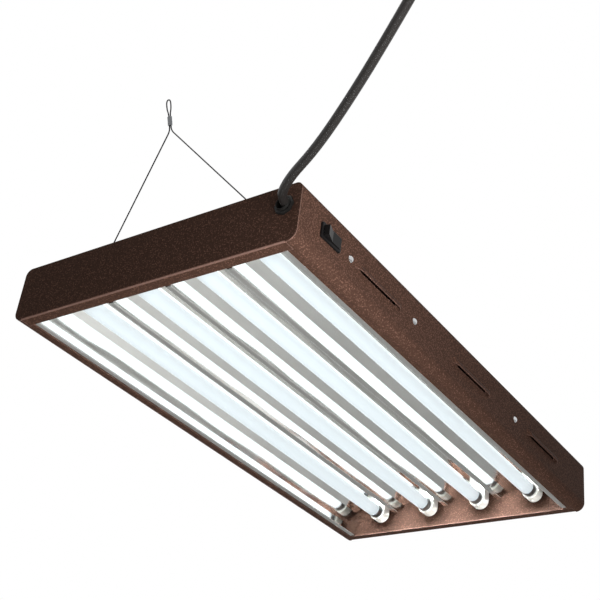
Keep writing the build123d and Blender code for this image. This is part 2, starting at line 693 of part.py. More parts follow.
def gland_body():
    collar = extrude(Plane.XZ * RegularPolygon(GLAND_COLLAR_D / 2, 8), GLAND_COLLAR_H)
    collar = Pos(gland_x, -half_length - SEAT_GAP, gland_z) * collar
    collar = chamfer(collar.edges().group_by(Axis.Y)[0], 0.3 * GLAND_COLLAR_H)
    nose = Pos(gland_x, -half_length - GLAND_COLLAR_H - GLAND_NOSE / 2, gland_z) * turn_x * Cone(
        0.36 * GLAND_COLLAR_D, 0.32 * GLAND_COLLAR_D, GLAND_NOSE)
    shank = rod(GLAND_SHANK_D / 2, (gland_x, -half_length - 1, gland_z), shank_y)
    body = collar + nose + shank
    body -= rod(CORD_D / 2 + CORD_FIT, (gland_x, nose_y - 1, gland_z), shank_y + 1)
    mouth = -half_length - nose_y + 3 * SHEET
    flare = Cone(CORD_D / 2 + CORD_FIT, CORD_D / 2 + GLAND_MOUTH, mouth)
    return body - Pos(gland_x, nose_y + mouth / 2, gland_z) * turn_x * flare


def gland_nut():
    nut = extrude(Plane.XZ * RegularPolygon(GLAND_NUT_D / 2, 6), -GLAND_NUT_H)
    nut = Pos(gland_x, -inner_end + SEAT_GAP, gland_z) * nut
    return nut - rod(GLAND_SHANK_D / 2 + GLAND_FIT, (gland_x, -half_length, gland_z), shank_y)


# Power cord: free stretch from inside the gland to the coil
cord_start = Vector(gland_x, shank_y + CORD_TAIL, gland_z)
cord_points = [cord_start]
cord_points += [Vector(gland_x + x, -half_length + y, gland_z + z) for x, y, z in CORD_ROUTE]
coil_along = (cord_points[-1] - cord_points[-2]).normalized()
coil_side = coil_along.cross(Vector(0, 0, 1)).normalized()
coil_up = coil_side.cross(coil_along)


def coil_edges():
    """Half turns that spiral in, climb to the second layer, spiral out and lift clear of the ring."""
    here = cord_points[-1] + coil_along * CORD_D
    edges = [Line(cord_points[-1], here)]
    way = 1
    turns = [(COIL_RADIUS - i * COIL_PITCH / 2, 0.0) for i in range(COIL_HALF_TURNS)]
    innermost = COIL_RADIUS - COIL_HALF_TURNS * COIL_PITCH / 2
    turns.append((innermost, COIL_PITCH))
    turns += [(innermost + i * COIL_PITCH / 2, 0.0) for i in range(1, COIL_HALF_TURNS - 1)]
    turns.append((innermost + (COIL_HALF_TURNS - 1) * COIL_PITCH / 2, COIL_EXIT_CLIMB))
    for radius, climb in turns:
        there = here + coil_up * (2 * radius * way) + coil_side * climb
        middle = (here + there) / 2
        outward = coil_along * (way * (there - here).length / 2)
        edges.append(ThreePointArc(here, middle + outward, there))
        here = there
        way = -way
    edges.append(Line(here, here + coil_along * CORD_D))
    return edges


def least_gap(path, diameter):
    """Least clear distance between turns, measured on points along the path."""
    count = ceil(path.length / (diameter / 3))
    points = [path.position_at(i / count) for i in range(count + 1)]
    skip = ceil(3 * pi * diameter / (path.length / count))
    return min((points[i] - points[j]).length for i in range(count + 1)
               for j in range(i + skip, count + 1)) - diameter


coil_path = Wire(coil_edges())
plug_axis = Plane(coil_path @ 1, x_dir=coil_up, z_dir=coil_along)


def cord_coil():
    return sweep(Plane(coil_path @ 0, z_dir=coil_path % 0) * Circle(CORD_D / 2), coil_path)


def cord_tie():
    """Band round the right side of the ring's bundle."""
    inner = COIL_RADIUS - (COIL_HALF_TURNS - 1) * COIL_PITCH / 2
    offset = (COIL_PITCH + TIE_WIDTH) / 2
    bow = inner - (inner ** 2 - offset ** 2) ** 0.5
    low = inner - bow - CORD_D / 2 - TIE_GAP
    high = COIL_RADIUS + CORD_D / 2 + TIE_GAP
    across = COIL_PITCH + CORD_D + 2 * TIE_GAP
    hole = RectangleRounded(high - low, across, CORD_D / 3)
    band = RectangleRounded(high - low + 2 * TIE_SHEET, across + 2 * TIE_SHEET, CORD_D / 3 + TIE_SHEET)
    start = cord_points[-1] + coil_along * CORD_D
    centre = start + coil_up * (COIL_RADIUS + COIL_PITCH / 2) + coil_along * ((low + high) / 2)
    centre += coil_side * (COIL_PITCH / 2)
    return extrude(Plane(centre, x_dir=coil_along, z_dir=coil_up) * (band - hole), TIE_WIDTH / 2, both=True)


# Plug: ribbed relief, moulded body, two blades and a ground pin
def plug_body():
    relief = Pos(0, 0, PLUG_RELIEF / 2) * Cone(PLUG_NECK_D / 2, 0.36 * PLUG_WIDTH, PLUG_RELIEF)
    body = Pos(0, 0, PLUG_RELIEF + PLUG_LENGTH / 2) * Box(PLUG_WIDTH, PLUG_HEIGHT, PLUG_LENGTH)
    body = fillet(body.edges().filter_by(Axis.Z), PLUG_FILLET)
    body = fillet(body.edges().group_by(Axis.Z)[0], PLUG_FILLET)
    body += relief
    face = PLUG_RELIEF + PLUG_LENGTH
    for blade in (*blade_shapes(SEAT_GAP), ground_pin_shape(SEAT_GAP)):
        body -= blade
    body -= Pos(0, 0, face) * Box(0.5 * PLUG_WIDTH, 0.2 * PLUG_HEIGHT, PLUG_EMBED / 3)
    return plug_axis * body


def blade_shapes(grow):
    length = BLADE_LENGTH + PLUG_EMBED
    middle = PLUG_RELIEF + PLUG_LENGTH + (BLADE_LENGTH - PLUG_EMBED) / 2
    lift = PLUG_WIDTH / 2 - BLADE_WIDTH / 2 - PLUG_FILLET
    for y in (-BLADE_SPACING / 2, BLADE_SPACING / 2):
        yield Pos(lift, y, middle) * Box(BLADE_WIDTH + 2 * grow, BLADE_SHEET + 2 * grow, length + 2 * grow)


def ground_pin_shape(grow):
    length = GROUND_PIN_LENGTH + PLUG_EMBED
    middle = PLUG_RELIEF + PLUG_LENGTH + (GROUND_PIN_LENGTH - PLUG_EMBED) / 2
    lift = PLUG_WIDTH / 2 - BLADE_WIDTH / 2 - PLUG_FILLET - GROUND_PIN_DROP
    return Pos(lift, 0, middle) * Cylinder(GROUND_PIN_D / 2 + grow, length + 2 * grow)


# Leads inside the housing
def lead_start(angle):
    turn = radians(angle)
    return cord_start + Vector(LEAD_CIRCLE * cos(turn), 0, LEAD_CIRCLE * sin(turn))


def mains_leads():
    terminal_x = half_width - SWITCH_DEPTH - 0.55 * TERMINAL_LENGTH
    terminal_top = SWITCH_Z + TERMINAL_WIDTH / 2 + SEAT_GAP
    upper = lead_level(True)
    near = -BALLAST_LENGTH / 2 + BALLAST_WALL
    right = [lamp_pitch + x for x in mains_lead_offsets]
    left = [-lamp_pitch + x for x in mains_lead_offsets]
    first_y = switch_y - TERMINAL_SPACING / 2
    second_y = switch_y + TERMINAL_SPACING / 2
    a = lead_start(90)
    live = [a, a + Vector(0, 6, 0), (terminal_x, first_y - 4, upper - 8), (terminal_x, first_y, upper - 10),
            (terminal_x, first_y, terminal_top)]
    switched = [(terminal_x, second_y, terminal_top), (terminal_x, second_y, upper - 6),
                (terminal_x - 12, second_y + 14, upper), (right[3] + 5, near - 40, upper),
                (right[3], near - 15, upper), (right[3], near, upper)]
    b = lead_start(210)
    neutral = [b, b + Vector(0, 4, 0), (gland_x - 12, -foot_y + 8, upper), (right[2] + 5, near - 55, upper),
               (right[2], near - 22, upper), (right[2], near, upper)]
    c = lead_start(330)
    ground_top = roof_inside - BALLAST_WALL - SEAT_GAP
    ring_x = ground_x + (SCREW_HEAD_D + LEAD_D) / 2 + SCREW_CLEARANCE
    ground = [c, c + Vector(0, 5, 0), (ring_x, -foot_y, gland_z + 9), (ring_x, -foot_y, ground_top)]
    leads = [tube(route, LEAD_D) for route in (live, switched, neutral, ground)]
    for i, back in ((0, 12), (1, 18)):
        jumper = [(right[i], near, upper), (right[i], near - back, upper),
                  (left[3 - i], near - back, upper), (left[3 - i], near, upper)]
        leads.append(tube(jumper, LEAD_D))
    return leads


def ground_ring():
    size = SCREW_HEAD_D + 3 * LEAD_D
    hole = Cylinder(BALLAST_SCREW_D / 2 + SCREW_CLEARANCE, 2 * BALLAST_WALL)
    ring = Cylinder(size / 2, BALLAST_WALL) - hole
    return ground_place() * Pos(0, 0, -SHEET - BALLAST_WALL / 2 - SEAT_GAP) * ring


def lamp_leads():
    level = lead_level(False)
    over_floor = floor_top + 1.25 * SLEEVE_D
    start = BALLAST_LENGTH / 2 - BALLAST_WALL
    bend = start + SLEEVE_STRAIGHT
    crossed = bend + SLEEVE_CROSSING
    end_y = contact_y + CONTACT_WIDTH / 2
    end_z = bar_top + FOOT_RISE + SEAT_GAP + SLEEVE_D
    for i, x in enumerate(lamp_places):
        ballast = -lamp_pitch if i < LAMP_COUNT / 2 else lamp_pitch
        from_x = ballast + lamp_lead_offsets[0 if x < ballast else 1]
        for end in (-1, 1):
            yield tube([(from_x, end * start, level), (from_x, end * bend, level),
                        (x, end * crossed, over_floor), (x, end * (end_y - SLEEVE_LAST_RUN), end_z),
                        (x, end * end_y, end_z)], SLEEVE_D)


# Hangers: one cable with an eye at each foot, a crimped ferrule and a loop for the hook
def hanger_plane():
    """Plane of the near hanger, its origin on the hinge line and its Y up along the lean."""
    lean = radians(HANGER_LEAN)
    return Plane((0, -foot_y, hinge_z), x_dir=(1, 0, 0), z_dir=(0, -cos(lean), -sin(lean)))


bend_drop = 10.5
leg_angle = atan2(foot_x - strand, HANGER_RISE - bend_drop)
bridge_reach = (BRIDGE_WIDTH ** 2 + SHEET ** 2) ** 0.5 / 2
eye_below = (bridge_reach + EYE_CLEARANCE + CABLE_D / 2) / cos(leg_angle)


def hanger_points():
    top = HANGER_RISE + FERRULE_LENGTH
    down = Vector(sin(leg_angle), -cos(leg_angle), 0)
    out = Vector(0, 0, 1)
    foot = Vector(foot_x, 0, 0)
    eye = [(-EYE_ABOVE, -strand), (-1.5, -EYE_HALF), (eye_below, -EYE_HALF), (eye_below, EYE_HALF),
           (-1.5, EYE_HALF), (-EYE_ABOVE, strand), (-EYE_ABOVE - SLEEVE_LENGTH - 4, strand)]
    half = [Vector(LOOP_HALF, loop_top - CABLE_D / 2), Vector(LOOP_HALF, top + 8), Vector(strand, top + 3),
            Vector(strand, HANGER_RISE - bend_drop)]
    half += [foot + down * q + out * p for q, p in eye]
    other = [Vector(-p.X, p.Y, p.Z) for p in half]
    return list(reversed(other)) + half


def hanger_cable():
    plane = hanger_plane()
    return tube([plane.from_local_coords(p) for p in hanger_points()], CABLE_D)


def crimp(length):
    """Flattened sleeve round two strands, its axis along Z."""
    hole = SlotOverall(2 * strand + CABLE_D + 2 * FERRULE_FIT, CABLE_D + 2 * FERRULE_FIT)
    wall = 2 * (FERRULE_FIT + FERRULE_WALL)
    return extrude(SlotOverall(2 * strand + CABLE_D + wall, CABLE_D + wall) - hole, length)


def hanger_ferrule():
    start = Plane((0, HANGER_RISE, 0), x_dir=(1, 0, 0), z_dir=(0, 1, 0))
    return hanger_plane() * start * crimp(FERRULE_LENGTH)


def hanger_sleeves():
    for side in (-1, 1):
        down = Vector(side * sin(leg_angle), -cos(leg_angle), 0)
        start = Vector(side * foot_x, 0, 0) - down * (EYE_ABOVE + 2.5 + SLEEVE_LENGTH)
        yield hanger_plane() * Plane(start, x_dir=(0, 0, 1), z_dir=down) * crimp(SLEEVE_LENGTH)


def main():
    os.makedirs("parts", exist_ok=True)
    save("housing_body", housing_body())
    save("end_plate_near", end_plate(True))
    save("end_plate_far", Rot(0, 0, 180) * end_plate(False))
    save("reflector", reflector())
    clip = reflector_clip()
    screw = turn_y * dome_screw(SCREW_D, SCREW_LENGTH)
    save("reflector_clips", *[place * clip for place in screw_places()])
    save("side_screws", *[place * screw for place in screw_places()])
    bar = socket_bar()
    save("socket_bar_near", Rot(0, 0, 180) * bar)
    save("socket_bar_far", bar)

    holder = lampholder()
    contacts = list(holder_contacts())
    glass, caps, pins, rotors = lamp_tube(), lamp_caps(), lamp_pins(), lamp_rotors()
    all_contacts = []
    for i, x in enumerate(lamp_places, 1):
        axis = Pos(x, 0, LAMP_Z)
        for end, turn in (("near", Rot(0, 0, 180)), ("far", Rot(0, 0, 0))):
            place = Pos(x, 0, 0) * turn
            save(f"lampholder_{i}_{end}", place * holder)
            all_contacts += [place * contact for contact in contacts]
        save(f"lamp_{i}_tube", axis * glass)
        save(f"lamp_{i}_caps", *[axis * cap for cap in caps])
        save(f"lamp_{i}_pins", *[axis * pin for pin in pins])
        save(f"lamp_{i}_rotors", *[axis * rotor for rotor in rotors])
    save("lampholder_contacts", *all_contacts)

    base, can, board = ballast_base(), ballast_can(), ballast_board()
    for name, x in (("left", -lamp_pitch), ("right", lamp_pitch)):
        save(f"ballast_{name}_base", Pos(x, 0, 0) * base)
        save(f"ballast_{name}_can", Pos(x, 0, 0) * can)
        save(f"ballast_{name}_board", Pos(x, 0, 0) * board)
    roof_screw = dome_screw(BALLAST_SCREW_D, SCREW_LENGTH / 2)
    save("ballast_screws", *[place * roof_screw for place in ballast_screw_places()])
    under = ground_place() * Pos(0, 0, -SHEET - BALLAST_WALL - 2 * SEAT_GAP) * Rot(180, 0, 0)
    save("ground_screw", under * dome_screw(BALLAST_SCREW_D, SCREW_LENGTH / 2))

    save("switch_frame", switch_frame())
    save("switch_rocker", switch_rocker())
    save("switch_terminals", *switch_terminals())
    save("gland_body", gland_body())
    save("gland_nut", gland_nut())
    save("mains_leads", *mains_leads(), ground_ring())
    save("lamp_leads", *lamp_leads())

    cord = tube(cord_points, CORD_D)
    coil = cord_coil()
    save("power_cord", cord)
    save("cord_coil", coil)
    save("cord_tie", cord_tie())
    save("plug_body", plug_body())
    save("plug_blades", *[plug_axis * blade for blade in blade_shapes(0)])
    save("plug_ground_pin", plug_axis * ground_pin_shape(0))

    cable = hanger_cable()
    ferrule = hanger_ferrule()
    sleeves = list(hanger_sleeves())
    for name, turn in (("near", Rot(0, 0, 0)), ("far", Rot(0, 0, 180))):
        save(f"hanger_{name}_cable", turn * cable)
        save(f"hanger_{name}_ferrule", turn * ferrule)
        save(f"hanger_{name}_sleeves", *[turn * sleeve for sleeve in sleeves])

    section = pi * CORD_D ** 2 / 4
    print("cord radii", [round(r, 1) for r in largest_radii(cord_points)])
    print("cord stretch", round(cord.volume / section), "mm, coil", round(coil_path.length), "mm")
    print("coil volume over section times length", round(coil.volume / (section * coil_path.length), 4))
    print("least gap between coil turns", round(least_gap(coil_path, CORD_D), 2), "mm")
    print("hanger radii", [round(r, 1) for r in largest_radii(hanger_points())])
    print("hook line", round(hook_z, 2), "mm above the rim")


main()
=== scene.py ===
"""Looks of a hanging fluorescent light fixture with four lit lamps over a mirror reflector."""
import math

import bpy
from mathutils import Matrix, Vector


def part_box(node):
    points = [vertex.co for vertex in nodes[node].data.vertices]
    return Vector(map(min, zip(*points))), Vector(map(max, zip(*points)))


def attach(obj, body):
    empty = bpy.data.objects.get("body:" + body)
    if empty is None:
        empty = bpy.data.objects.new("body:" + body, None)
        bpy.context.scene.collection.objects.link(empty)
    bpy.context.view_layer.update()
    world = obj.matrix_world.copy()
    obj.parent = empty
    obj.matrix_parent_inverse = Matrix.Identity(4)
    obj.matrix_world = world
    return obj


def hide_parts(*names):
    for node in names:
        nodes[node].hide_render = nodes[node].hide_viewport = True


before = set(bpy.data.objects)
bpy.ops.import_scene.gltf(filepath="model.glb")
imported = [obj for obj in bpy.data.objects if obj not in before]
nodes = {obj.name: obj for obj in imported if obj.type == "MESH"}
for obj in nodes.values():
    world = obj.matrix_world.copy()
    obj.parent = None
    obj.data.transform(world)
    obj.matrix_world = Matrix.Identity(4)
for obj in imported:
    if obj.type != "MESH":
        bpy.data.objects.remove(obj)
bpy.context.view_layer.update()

# Housing body, end plates and socket bars.
# Steel sheet, folded and spot welded into a shallow box, then sprayed inside and outside with a
# brown hammered enamel. The socket bars carry the lampholders, one bar at each end.
MM = 0.001
ENAMEL_GROUND = "#35251E"
ENAMEL_FLECK = "#664A3F"
# Colour of the painted highlights on cut edges and on the end plates' lower bends.
ENAMEL_HIGHLIGHT = "#9C7C72"
ENAMEL_ROUGHNESS = (0.4, 0.6)
ENAMEL_GLOSS = 0.01
ENAMEL_IOR = 1.5
# Real flecks lie less than a millimetre apart. They are drawn coarser here, so that they show.
FLECK_SPACING = 1.5 * MM
# A fleck fades between these shares of the spacing, and this share of the places has none.
FLECK_FADE = (0.1, 0.55)
FLECKLESS = 0.1
PEEL_WIDTH = 1.4 * MM
PEEL_DEPTH = 0.25 * MM
PEEL_STRENGTH = 0.35
# A painted highlight lightens a cut edge between these cosines of the rounded and the flat normal.
EDGE_WIDTH = 0.7 * MM
EDGE_HIGHLIGHT_TURN = (0.98, 0.8)
EDGE_HIGHLIGHT_AMOUNT = 0.35
# A painted highlight lightens the end plates' lower bends between these products of endwise and
# upward facing.
BEND_HIGHLIGHT_TURN = (-0.2, -0.48)
BEND_HIGHLIGHT_AMOUNT = 0.3


def linear(colour):
    """Linear RGBA of an sRGB hex colour."""
    parts = [int(colour[i:i + 2], 16) / 255 for i in (1, 3, 5)]
    return [c / 12.92 if c <= 0.04045 else ((c + 0.055) / 1.055) ** 2.4 for c in parts] + [1.0]


def add(tree, kind, inputs=None, **settings):
    """A node with its settings, and its inputs as values or as links from other nodes' outputs."""
    node = tree.nodes.new(kind)
    for name, value in settings.items():
        setattr(node, name, value)
    for socket, value in (inputs or {}).items():
        if isinstance(value, bpy.types.NodeSocket):
            tree.links.new(value, node.inputs[socket])
        else:
            node.inputs[socket].default_value = value
    return node


def new_material(name):
    """An empty material, its node tree and its shader."""
    material = bpy.data.materials.new(name)
    material.use_nodes = True
    return material, material.node_tree, material.node_tree.nodes["Principled BSDF"]


def wear(material, *names):
    """Give CAD nodes a material."""
    for name in names:
        nodes[name].data.materials.clear()
        nodes[name].data.materials.append(material)


def hammered_enamel():
    """A dark brown ground under dense pinkish flecks, dulled by an orange-peel surface.

    A painted highlight lightens the cut edges and the end plates' lower bends, where light would
    catch them.
    """
    material, tree, shader = new_material("hammered_brown_enamel")
    coordinates = add(tree, "ShaderNodeTexCoord")
    place = coordinates.outputs["Object"]
    cells = add(tree, "ShaderNodeTexVoronoi", {"Vector": place, "Scale": 1 / FLECK_SPACING,
                                               "Randomness": 1.0})
    spots = add(tree, "ShaderNodeMapRange", {"Value": cells.outputs["Distance"],
                                             "From Min": FLECK_FADE[0], "From Max": FLECK_FADE[1],
                                             "To Min": 1.0, "To Max": 0.0})
    chance = add(tree, "ShaderNodeSeparateColor", {"Color": cells.outputs["Color"]})
    brightness = add(tree, "ShaderNodeMapRange", {"Value": chance.outputs["Red"],
                                                  "From Min": FLECKLESS, "From Max": 1.0})
    flecks = add(tree, "ShaderNodeMath", {0: spots.outputs["Result"],
                                          1: brightness.outputs["Result"]}, operation="MULTIPLY")
    coat = add(tree, "ShaderNodeMix", {0: flecks.outputs["Value"], 6: linear(ENAMEL_GROUND),
                                       7: linear(ENAMEL_FLECK)}, data_type="RGBA")
    rounded = add(tree, "ShaderNodeBevel", {"Radius": EDGE_WIDTH}, samples=6)
    flat = add(tree, "ShaderNodeNewGeometry")
    turn = add(tree, "ShaderNodeVectorMath", {0: rounded.outputs["Normal"],
                                              1: flat.outputs["Normal"]}, operation="DOT_PRODUCT")
    # Painted highlight: cut edges, where the rounded normal turns from the flat one, are lightened.
    edge_highlight = add(tree, "ShaderNodeMapRange", {"Value": turn.outputs["Value"],
                                            "From Min": EDGE_HIGHLIGHT_TURN[0], "From Max": EDGE_HIGHLIGHT_TURN[1],
                                            "To Max": EDGE_HIGHLIGHT_AMOUNT})
    facing = add(tree, "ShaderNodeSeparateXYZ", {"Vector": coordinates.outputs["Normal"]})
    endwise = add(tree, "ShaderNodeMath", {0: facing.outputs["Y"]}, operation="ABSOLUTE")
    tilt = add(tree, "ShaderNodeMath", {0: endwise.outputs["Value"], 1: facing.outputs["Z"]},
               operation="MULTIPLY")
    # Painted highlight on the end plates' downward-facing bends, chosen by which way they face.
    bend_highlight = add(tree, "ShaderNodeMapRange", {"Value": tilt.outputs["Value"],
                                              "From Min": BEND_HIGHLIGHT_TURN[0],
                                              "From Max": BEND_HIGHLIGHT_TURN[1],
                                              "To Max": BEND_HIGHLIGHT_AMOUNT})
    # The painted highlights of edges and bends, whichever is stronger.
    pale = add(tree, "ShaderNodeMath", {0: edge_highlight.outputs["Result"], 1: bend_highlight.outputs["Result"]},
               operation="MAXIMUM")
    colour = add(tree, "ShaderNodeMix", {0: pale.outputs["Value"], 6: coat.outputs[2],
                                         7: linear(ENAMEL_HIGHLIGHT)}, data_type="RGBA")
    tree.links.new(colour.outputs[2], shader.inputs["Base Color"])
    peel = add(tree, "ShaderNodeTexNoise", {"Vector": place, "Scale": 1 / PEEL_WIDTH,
                                            "Detail": 3.0})
    bump = add(tree, "ShaderNodeBump", {"Height": peel.outputs["Fac"], "Strength": PEEL_STRENGTH,
                                        "Distance": PEEL_DEPTH})
    tree.links.new(bump.outputs["Normal"], shader.inputs["Normal"])
    rough = add(tree, "ShaderNodeMapRange", {"Value": peel.outputs["Fac"],
                                             "To Min": ENAMEL_ROUGHNESS[0],
                                             "To Max": ENAMEL_ROUGHNESS[1]})
    tree.links.new(rough.outputs["Result"], shader.inputs["Roughness"])
    shader.inputs["IOR"].default_value = ENAMEL_IOR
    shader.inputs["Specular IOR Level"].default_value = ENAMEL_GLOSS
    return material


wear(hammered_enamel(), "housing_body", "end_plate_near", "end_plate_far", "socket_bar_near",
     "socket_bar_far")

# Side screws, roof screws, ground screw and reflector clips.
# Small steel parts, turned or pressed and then plated: nickel on the screws that show, zinc on the
# rest. The side screws go through the housing into the clips that hold the reflector.
NICKEL = "#C9CACB"
ZINC = "#A9ABAC"
CLOUD_WIDTH = 2.5 * MM


def clouded_metal(name, colour, bright, dull):
    """A bright metal that faint cloudy patches dull, from one roughness to the other."""
    material, tree, shader = new_material(name)
    place = add(tree, "ShaderNodeTexCoord").outputs["Object"]
    cloud = add(tree, "ShaderNodeTexNoise", {"Vector": place, "Scale": 1 / CLOUD_WIDTH,
                                             "Detail": 2.0})
    rough = add(tree, "ShaderNodeMapRange", {"Value": cloud.outputs["Fac"], "To Min": bright,
                                             "To Max": dull})
    tree.links.new(rough.outputs["Result"], shader.inputs["Roughness"])
    shader.inputs["Base Color"].default_value = linear(colour)
    shader.inputs["Metallic"].default_value = 1.0
    return material


wear(clouded_metal("nickel_plated_steel", NICKEL, bright=0.15, dull=0.3), "side_screws")
wear(clouded_metal("zinc_plated_steel", ZINC, bright=0.3, dull=0.5), "reflector_clips",
     "ballast_screws", "ground_screw")

# Reflector.
# One sheet of polished aluminium, folded into sloping troughs and flat-tipped ridges, and held by
# clips along its two outer walls.
POLISHED_ALUMINIUM = "#EDEDEA"
POLISHED_ROUGHNESS = (0.05, 0.17)
# Rolling lines are finer than a tenth of a millimetre. They are drawn coarser here, so that they
# show, and a hundred times as long as they are wide.
STREAK_WIDTH = 1.5 * MM
STREAK_STRETCH = (1.0, 0.01, 1.0)
SMUDGE_WIDTH = 45 * MM
CLOUDED = (0.1, 0.45)
WAVE_LENGTH = 30 * MM
WAVE_DEPTH = 1.2 * MM
WAVE_STRETCH = (1.0, 0.25, 1.0)


def polished_aluminium():
    """A mirror for the lamps, with streaks along it, cloudiness from handling and slight waves."""
    material, tree, shader = new_material("polished_aluminium")
    place = add(tree, "ShaderNodeTexCoord").outputs["Object"]
    along = add(tree, "ShaderNodeMapping", {"Vector": place, "Scale": STREAK_STRETCH})
    streaks = add(tree, "ShaderNodeTexNoise", {"Vector": along.outputs["Vector"],
                                               "Scale": 1 / STREAK_WIDTH})
    smudges = add(tree, "ShaderNodeTexNoise", {"Vector": place, "Scale": 1 / SMUDGE_WIDTH,
                                               "Detail": 3.0})
    clouds = add(tree, "ShaderNodeMath", {0: streaks.outputs["Fac"], 1: smudges.outputs["Fac"]},
                 operation="MULTIPLY")
    rough = add(tree, "ShaderNodeMapRange", {"Value": clouds.outputs["Value"],
                                             "From Min": CLOUDED[0], "From Max": CLOUDED[1],
                                             "To Min": POLISHED_ROUGHNESS[0],
                                             "To Max": POLISHED_ROUGHNESS[1]})
    tree.links.new(rough.outputs["Result"], shader.inputs["Roughness"])
    rolled = add(tree, "ShaderNodeMapping", {"Vector": place, "Scale": WAVE_STRETCH})
    waves = add(tree, "ShaderNodeTexNoise", {"Vector": rolled.outputs["Vector"],
                                             "Scale": 1 / WAVE_LENGTH, "Detail": 1.0})
    bump = add(tree, "ShaderNodeBump", {"Height": waves.outputs["Fac"], "Strength": 1.0,
                                        "Distance": WAVE_DEPTH})
    tree.links.new(bump.outputs["Normal"], shader.inputs["Normal"])
    shader.inputs["Base Color"].default_value = linear(POLISHED_ALUMINIUM)
    shader.inputs["Metallic"].default_value = 1.0
    return material


wear(polished_aluminium(), "reflector")

# Lampholders and their rotors.
# White blocks moulded in polycarbonate, which snap into the socket bars. Moulding leaves them a
# fine matt grain, and the rotors that turn in them are polished where the pins slide.
LAMPS = range(1, 5)
HOLDER_WHITE = "#E6E6E0"
ROTOR_WHITE = "#EDEDE8"
# Moulded grain is about a tenth of a millimetre wide. It is drawn coarser here, so that it shows.
GRAIN_WIDTH = 0.6 * MM
GRAIN_DEPTH = 0.05 * MM
GRAIN_STRENGTH = 0.3
ROUGHNESS_SPREAD = 0.06
PLASTIC_IOR = 1.5
PLASTIC_GLOSS = 0.5


def grained_surface(name, colour, roughness, grain=GRAIN_WIDTH, depth=GRAIN_DEPTH,
                    gloss=PLASTIC_GLOSS):
    """One colour all over, with a fine grain that breaks up its gloss."""
    material, tree, shader = new_material(name)
    place = add(tree, "ShaderNodeTexCoord").outputs["Object"]
    speck = add(tree, "ShaderNodeTexNoise", {"Vector": place, "Scale": 1 / grain, "Detail": 2.0})
    bump = add(tree, "ShaderNodeBump", {"Height": speck.outputs["Fac"], "Strength": GRAIN_STRENGTH,
                                        "Distance": depth})
    tree.links.new(bump.outputs["Normal"], shader.inputs["Normal"])
    rough = add(tree, "ShaderNodeMapRange", {"Value": speck.outputs["Fac"],
                                             "To Min": roughness - ROUGHNESS_SPREAD,
                                             "To Max": roughness + ROUGHNESS_SPREAD})
    tree.links.new(rough.outputs["Result"], shader.inputs["Roughness"])
    shader.inputs["Base Color"].default_value = linear(colour)
    shader.inputs["IOR"].default_value = PLASTIC_IOR
    shader.inputs["Specular IOR Level"].default_value = gloss
    return material


holder_plastic = grained_surface("white_polycarbonate", HOLDER_WHITE, roughness=0.4)
rotor_plastic = grained_surface("white_polycarbonate_polished", ROTOR_WHITE, roughness=0.25)
for i in LAMPS:
    wear(holder_plastic, f"lampholder_{i}_near", f"lampholder_{i}_far")
    wear(rotor_plastic, f"lamp_{i}_rotors")

# Lamps, with the brass contacts of the holders, the switch and the plug.
# Glass tubes coated inside with white phosphor, lit. Satin aluminium caps are glued on their ends,
# each with two bright brass pins.
LAMP_GLOW = "#EEF7FB"
PHOSPHOR = "#5C6467"
CAP_ALUMINIUM = "#7E8082"
BRASS = "#C9B48A"
GLASS_ROUGHNESS = 0.15
# Seen straight on the lamps stay just under white, and mirrored they are white. The light that they
# throw on the pieces round them is far stronger.
SEEN_STRENGTH = 0.75
MIRRORED_STRENGTH = 1.5
THROWN_STRENGTH = 160.0
END_SHADE = 26 * MM
END_LEVEL = 0.75


def lit_phosphor_glass():
    """An even cool glow, a little darker near each end."""
    material, tree, shader = new_material("lit_phosphor_glass")
    low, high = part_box("lamp_1_tube")
    reach = (high[1] - low[1]) / 2
    place = add(tree, "ShaderNodeTexCoord").outputs["Object"]
    parts = add(tree, "ShaderNodeSeparateXYZ", {"Vector": place})
    away = add(tree, "ShaderNodeMath", {0: parts.outputs["Y"]}, operation="ABSOLUTE")
    shade = add(tree, "ShaderNodeMapRange", {"Value": away.outputs["Value"],
                                             "From Min": reach - END_SHADE, "From Max": reach,
                                             "To Min": 1.0, "To Max": END_LEVEL},
                interpolation_type="SMOOTHSTEP")
    ray = add(tree, "ShaderNodeLightPath")
    thrown = add(tree, "ShaderNodeMapRange", {"Value": ray.outputs["Is Glossy Ray"],
                                              "To Min": THROWN_STRENGTH,
                                              "To Max": MIRRORED_STRENGTH})
    strength = add(tree, "ShaderNodeMix", {0: ray.outputs["Is Camera Ray"],
                                           2: thrown.outputs["Result"], 3: SEEN_STRENGTH})
    glow = add(tree, "ShaderNodeMath", {0: strength.outputs[0], 1: shade.outputs["Result"]},
               operation="MULTIPLY")
    tree.links.new(glow.outputs["Value"], shader.inputs["Emission Strength"])
    shader.inputs["Emission Color"].default_value = linear(LAMP_GLOW)
    shader.inputs["Base Color"].default_value = linear(PHOSPHOR)
    shader.inputs["Roughness"].default_value = GLASS_ROUGHNESS
    return material


glow_glass = lit_phosphor_glass()
cap_metal = clouded_metal("satin_aluminium", CAP_ALUMINIUM, bright=0.3, dull=0.45)
brass = clouded_metal("bright_brass", BRASS, bright=0.2, dull=0.35)
for i in LAMPS:
    wear(glow_glass, f"lamp_{i}_tube")
    wear(cap_metal, f"lamp_{i}_caps")
    wear(brass, f"lamp_{i}_pins")
wear(brass, "lampholder_contacts", "switch_terminals", "plug_blades", "plug_ground_pin")

# Ballasts.
# Slim electronic ballasts, screwed under the roof: folded steel cans in a smooth white enamel, with
# a wide faint ripple, over a circuit board of matt green laminate.
BALLAST_WHITE = "#DADAD6"
LAMINATE_GREEN = "#2F6B42"
can_enamel = grained_surface("white_smooth_enamel", BALLAST_WHITE, roughness=0.3, grain=3 * MM,
                             depth=0.03 * MM)
laminate = grained_surface("green_laminate", LAMINATE_GREEN, roughness=0.5)
for side in ("left", "right"):
    wear(can_enamel, f"ballast_{side}_base", f"ballast_{side}_can")
    wear(laminate, f"ballast_{side}_board")

